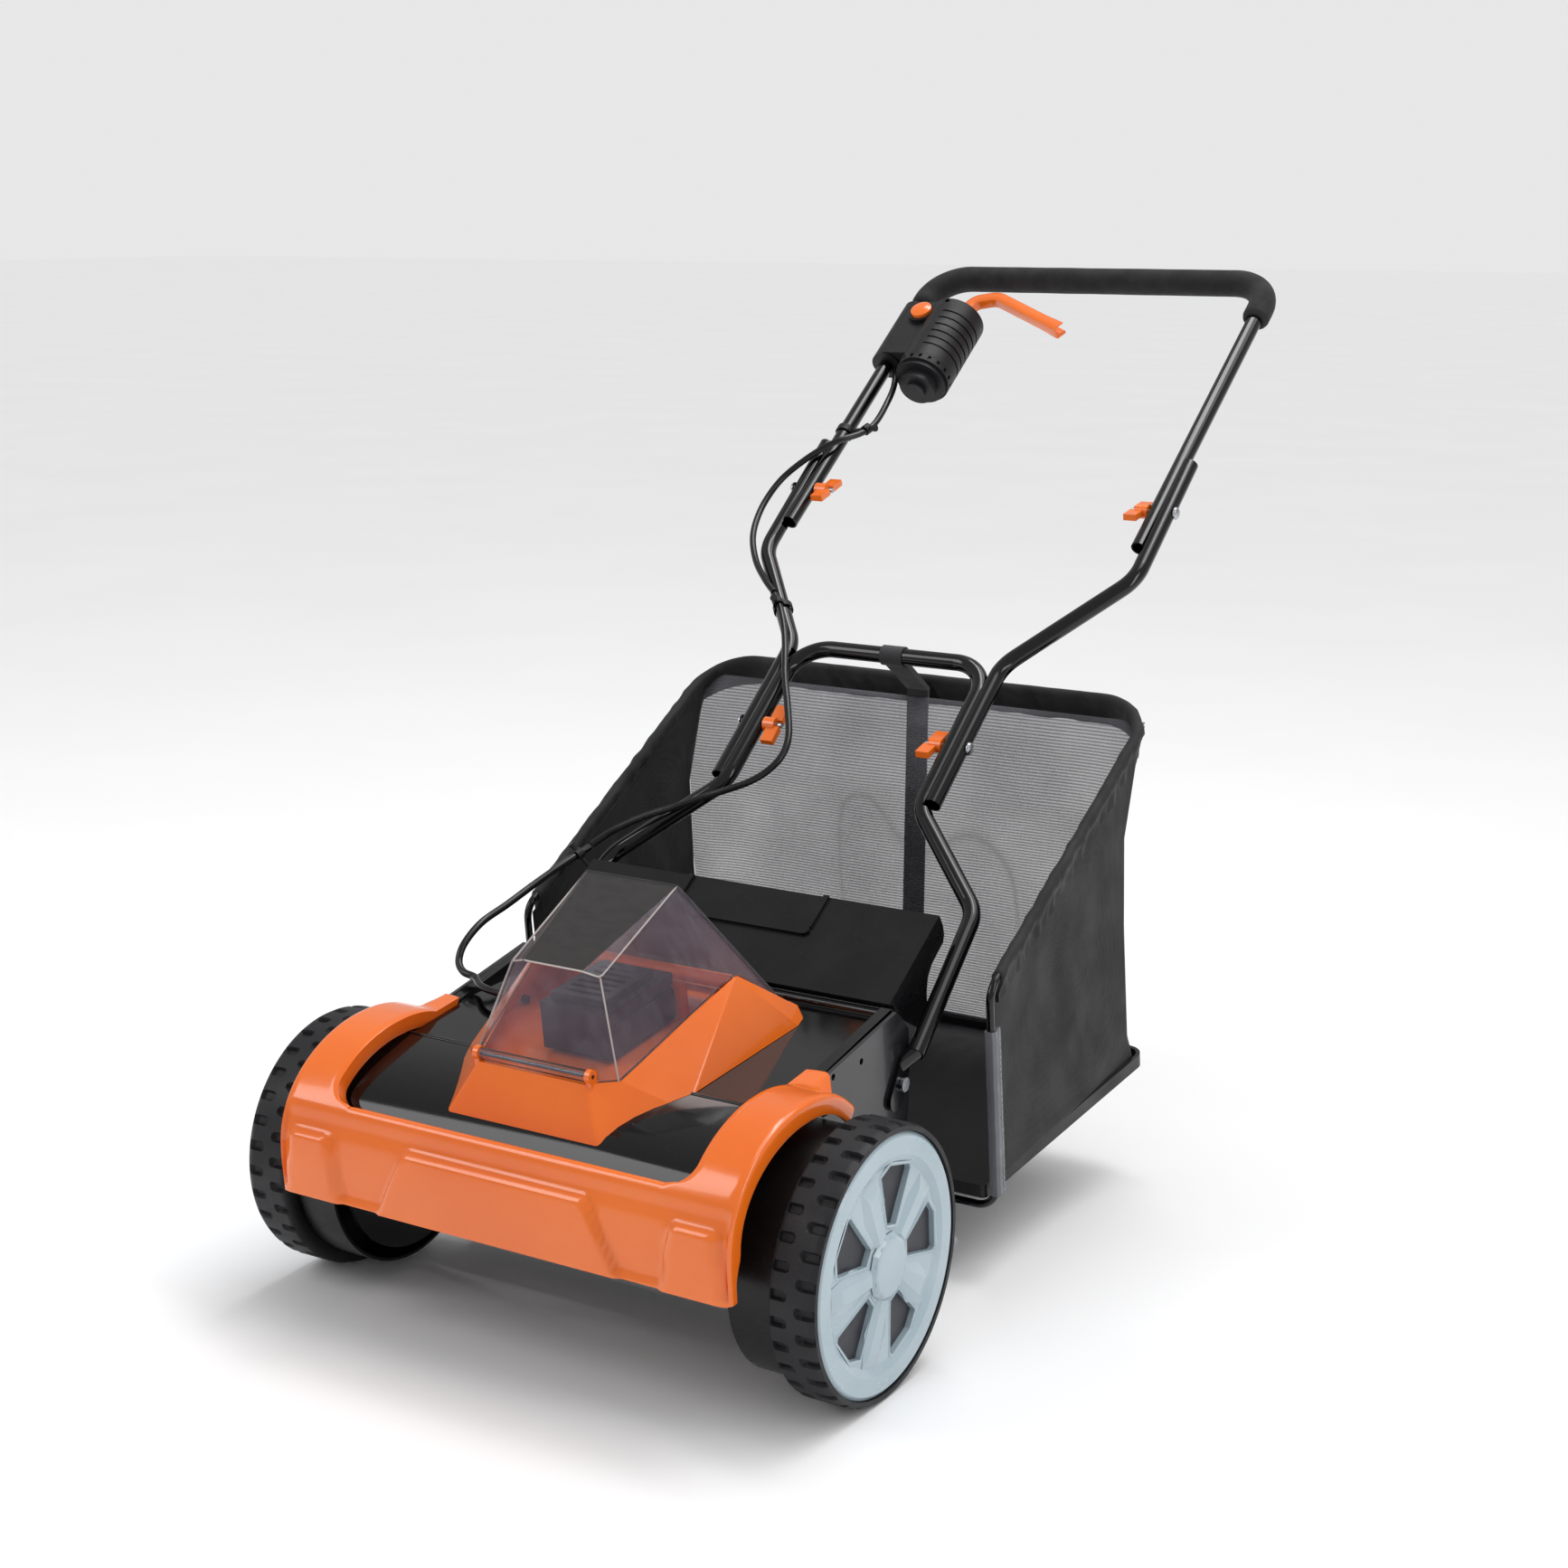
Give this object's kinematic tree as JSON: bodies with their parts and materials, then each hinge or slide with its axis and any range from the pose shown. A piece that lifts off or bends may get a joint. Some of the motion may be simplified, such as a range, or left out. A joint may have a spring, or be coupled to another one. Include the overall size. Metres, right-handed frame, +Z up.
{
  "type": "reel mower",
  "caption": "Battery reel mower with side wheels, helical blade reel, clear-lidded battery bay, folding tube handle with bail and start button, and a fabric grass catcher.",
  "frame": {"origin": "on the ground under the middle of the machine's bounding box", "axes": "+X to the right seen from the front, front faces -Y, +Z up"},
  "size_m": [0.638, 1.2224, 0.9484],
  "materials": {
    "orange_plastic": "glossy moulded orange",
    "gloss_black": "high gloss black",
    "satin_black": "satin textured black",
    "painted_black": "powder coated",
    "tube_black": "gloss enamel",
    "smoked_clear": "smoked polycarbonate",
    "steel": "machined",
    "blade_steel": "ground edges",
    "dark_metal": "dark enamel",
    "zinc": "zinc plated",
    "brass_bush": "sintered",
    "belt_rubber": "matte",
    "cable_jacket": "satin",
    "grey_plastic": "matte dark grey",
    "tyre": "moulded tread",
    "cap_plastic": "gloss light grey",
    "foam": "closed cell foam",
    "mesh_fabric": "woven mesh",
    "webbing": "woven webbing"
  },
  "bodies": {
    "mower": {"front_fascia": "orange_plastic", "reel_cover": "gloss_black", "rear_deck": "gloss_black", "deflector": "satin_black", "side_plate_left": "painted_black", "side_plate_right": "painted_black", "drum_cover_left": "satin_black", "drum_cover_right": "satin_black", "battery_housing": "orange_plastic", "battery_terminal": "orange_plastic", "hinge_pin": "steel", "motor": "dark_metal", "stub_axles": "steel", "bed_knife": "steel", "bed_bar": "dark_metal", "drive_belt": "belt_rubber", "reel_bushes": "brass_bush", "lower_handle": "tube_black", "frame_screws": "zinc", "lower_bolts": "zinc", "cable_front_loop": "cable_jacket", "cable_clip_low": "satin_black"},
    "roller_carriage": {"roller_arms": "grey_plastic", "roller_rod": "steel"},
    "roller": {"rear_roller": "grey_plastic"},
    "wheel_left": {"tyre_left": "tyre", "wheel_core_left": "grey_plastic", "hub_cap_left": "cap_plastic"},
    "wheel_right": {"tyre_right": "tyre", "wheel_core_right": "grey_plastic", "hub_cap_right": "cap_plastic"},
    "reel": {"reel_shaft": "steel", "reel_blades": "blade_steel", "reel_spiders": "dark_metal", "reel_pulley": "grey_plastic"},
    "motor_rotor": {"motor_pulley": "steel"},
    "battery": {"battery_pack": "satin_black"},
    "lid": {"battery_lid": "smoked_clear", "lid_latch": "satin_black"},
    "mid_handle": {"mid_tube_left": "tube_black", "mid_tube_right": "tube_black", "upper_bolts": "zinc", "cable_low_loop": "cable_jacket", "cable_clip_mid": "satin_black"},
    "low_knob_left": {"wing_knob_low_left": "orange_plastic"},
    "low_knob_right": {"wing_knob_low_right": "orange_plastic"},
    "top_knob_left": {"wing_knob_top_left": "orange_plastic"},
    "top_knob_right": {"wing_knob_top_right": "orange_plastic"},
    "grip_handle": {"upper_handle": "tube_black", "foam_grip": "foam", "switch_box": "satin_black", "switch_cap": "satin_black", "cable_top_loop": "cable_jacket", "cable_clip_top": "satin_black"},
    "start_button": {"start_button": "orange_plastic"},
    "bail": {"bail_lever": "orange_plastic"},
    "catcher": {"catcher_frame": "tube_black", "catcher_bag": "mesh_fabric", "catcher_tray": "satin_black", "catcher_strap": "webbing"}
  },
  "joints": [
    {"name": "wheel_left_spin", "type": "hinge", "parent": "mower", "child": "wheel_left", "pos_m": [0, -0.46025, 0.125], "axis": [1, 0, 0], "continuous": true},
    {"name": "wheel_right_spin", "type": "hinge", "parent": "mower", "child": "wheel_right", "pos_m": [0, -0.46025, 0.125], "axis": [1, 0, 0], "continuous": true},
    {"name": "reel_spin", "type": "hinge", "parent": "mower", "child": "reel", "pos_m": [0, -0.42025, 0.085], "axis": [1, 0, 0], "continuous": true},
    {"name": "motor_spin", "type": "hinge", "parent": "mower", "child": "motor_rotor", "pos_m": [0, -0.44525, 0.198], "axis": [1, 0, 0], "continuous": true},
    {"name": "cut_height", "type": "hinge", "parent": "mower", "child": "roller_carriage", "pos_m": [0, -0.27525, 0.105], "axis": [1, 0, 0], "range_deg": [-8, 0]},
    {"name": "roller_spin", "type": "hinge", "parent": "roller_carriage", "child": "roller", "pos_m": [0, -0.17525, 0.022], "axis": [1, 0, 0], "continuous": true},
    {"name": "lid_hinge", "type": "hinge", "parent": "mower", "child": "lid", "pos_m": [0, -0.54525, 0.276], "axis": [1, 0, 0], "range_deg": [0, 100]},
    {"name": "battery_release", "type": "slide", "parent": "mower", "child": "battery", "axis": [0, -1, 0], "range_m": [0, 0.012]},
    {"name": "handle_fold_low", "type": "hinge", "parent": "mower", "child": "mid_handle", "pos_m": [0, 0.01175, 0.4775], "axis": [1, 0, 0], "range_deg": [0, 90], "deforming": ["cable_low_loop"]},
    {"name": "handle_fold_top", "type": "hinge", "parent": "mid_handle", "child": "grip_handle", "pos_m": [0, 0.28476, 0.69858], "axis": [1, 0, 0], "range_deg": [0, 130], "deforming": ["cable_top_loop"]},
    {"name": "low_knob_left_turn", "type": "hinge", "parent": "mower", "child": "low_knob_left", "pos_m": [0, 0.01175, 0.4775], "axis": [1, 0, 0], "continuous": true},
    {"name": "low_knob_right_turn", "type": "hinge", "parent": "mower", "child": "low_knob_right", "pos_m": [0, 0.01175, 0.4775], "axis": [1, 0, 0], "continuous": true},
    {"name": "top_knob_left_turn", "type": "hinge", "parent": "mid_handle", "child": "top_knob_left", "pos_m": [0, 0.28476, 0.69858], "axis": [1, 0, 0], "continuous": true},
    {"name": "top_knob_right_turn", "type": "hinge", "parent": "mid_handle", "child": "top_knob_right", "pos_m": [0, 0.28476, 0.69858], "axis": [1, 0, 0], "continuous": true},
    {"name": "button_press", "type": "slide", "parent": "grip_handle", "child": "start_button", "axis": [0, 0.6018, -0.7986], "range_m": [0, 0.004], "stiffness_N_per_m": 400},
    {"name": "bail_pull", "type": "hinge", "parent": "grip_handle", "child": "bail", "pos_m": [-0.162, 0.52914, 0.88274], "axis": [0, -0.6018, 0.7986], "range_deg": [0, 14], "stiffness_Nm_per_rad": 2, "springref_deg": -5.73},
    {"name": "catcher_off", "type": "slide", "parent": "mower", "child": "catcher", "axis": [0, 1, 0], "range_m": [0, 0.3], "deforming": ["catcher_strap"]}
  ],
  "couplings": [
    {"joint": "motor_spin", "follows": "reel_spin", "ratio": 3}
  ]
}
